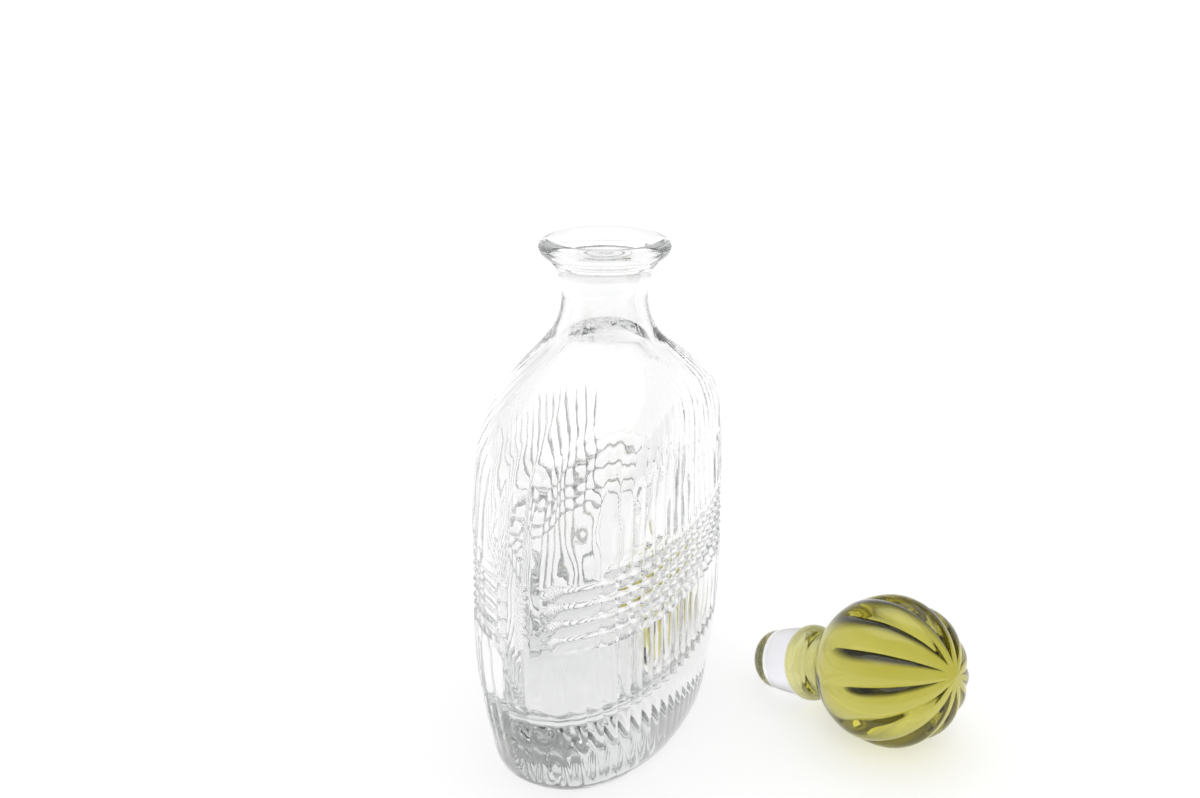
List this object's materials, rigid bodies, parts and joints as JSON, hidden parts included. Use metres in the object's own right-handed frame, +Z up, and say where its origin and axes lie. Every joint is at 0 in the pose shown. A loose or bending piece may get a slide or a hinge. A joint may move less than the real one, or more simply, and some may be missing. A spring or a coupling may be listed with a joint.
{
  "type": "lidded crystal carafe",
  "caption": "Empty oval crystal decanter with upright reeds crossed by a grooved band, and its green melon-ball glass stopper lying beside it.",
  "frame": {"origin": "centre of the flask's flat base, on the surface it stands on", "axes": "+Z up, the flask's long side along X, the stopper lying on the -Y side"},
  "size_m": [0.147, 0.1742, 0.19],
  "materials": {
    "crystal": "clear, fire-polished",
    "green_glass": "clear olive green, polished",
    "plug_glass": "clear, with a finely ground band"
  },
  "bodies": {
    "root": {"bottle": "crystal", "stopper_knob": "green_glass", "stopper_plug": "plug_glass"}
  },
  "joints": []
}
